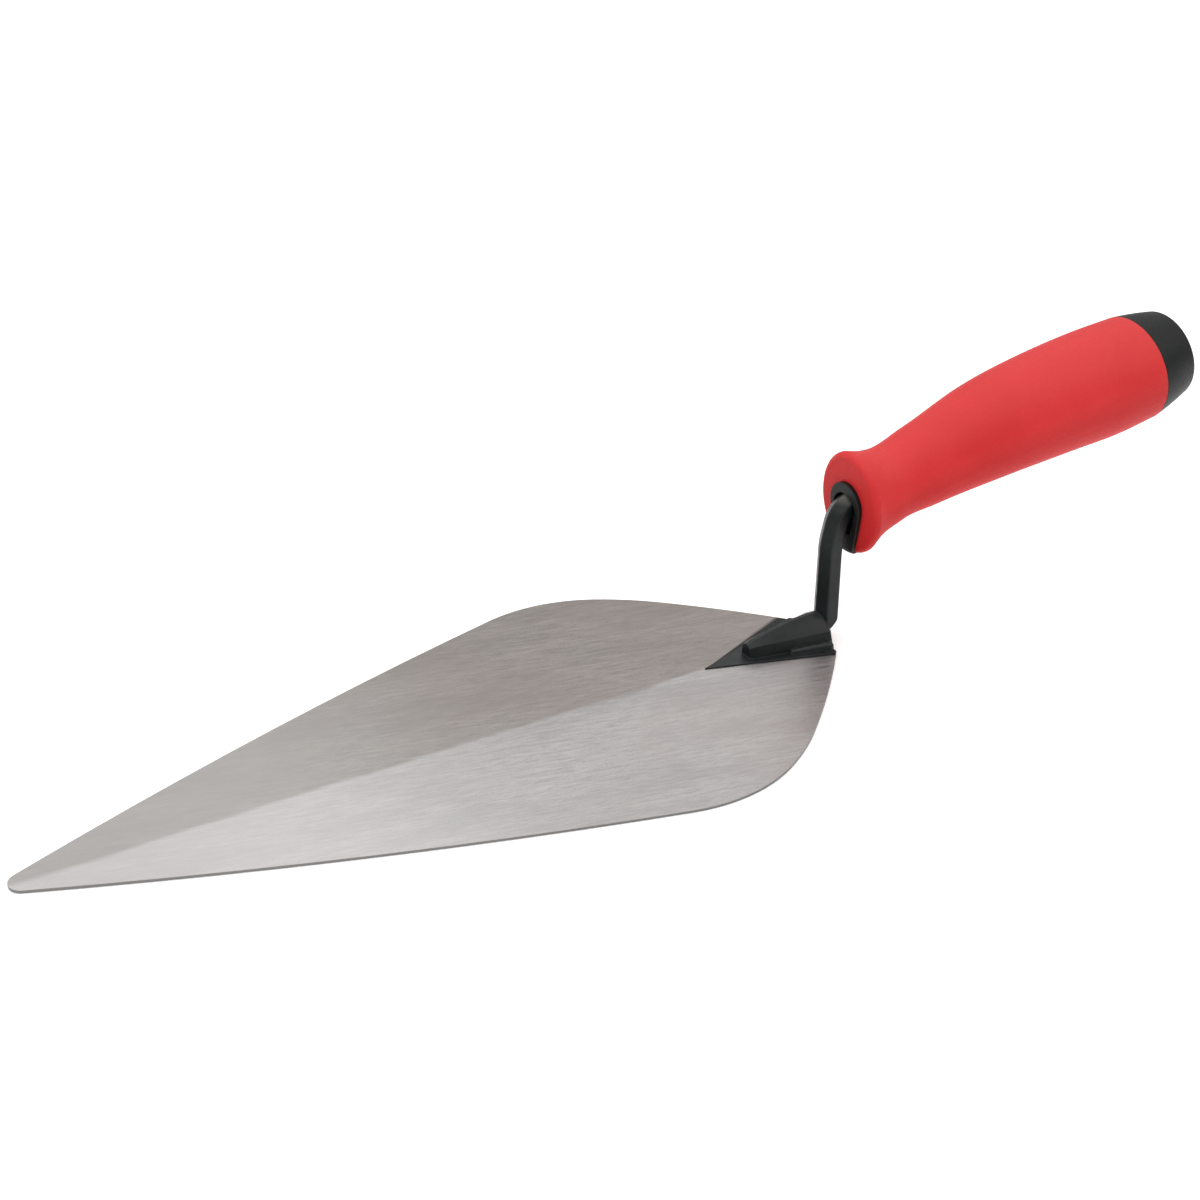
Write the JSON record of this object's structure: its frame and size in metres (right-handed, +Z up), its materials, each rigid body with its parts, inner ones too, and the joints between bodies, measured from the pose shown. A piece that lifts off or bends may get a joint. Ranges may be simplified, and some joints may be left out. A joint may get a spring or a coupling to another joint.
{
  "type": "brick trowel",
  "caption": "Leaf-shaped brick trowel: flat ground-steel blade with forged foot, goose-neck shank and soft-grip handle, for spreading and striking mortar.",
  "frame": {"origin": "on the ground under the middle of the tool's bounding box; the blade's underside lies on z = 0", "axes": "+X from the blade's tip to the handle's butt, +Y across the blade, +Z up; all but the two unequal weld beads is symmetric about the XZ plane"},
  "size_m": [0.3851, 0.1206, 0.0822],
  "materials": {
    "blade_steel": "ground and brushed along the blade, clear-lacquered",
    "shank_paint": "satin black paint over a forged surface",
    "grip_rubber": "matte red soft-touch",
    "hard_plastic": "fine moulded satin, charcoal black"
  },
  "bodies": {
    "root": {"blade": "blade_steel", "shank": "shank_paint", "handle_core": "hard_plastic", "grip_sleeve": "grip_rubber", "end_cap": "hard_plastic"}
  },
  "joints": []
}
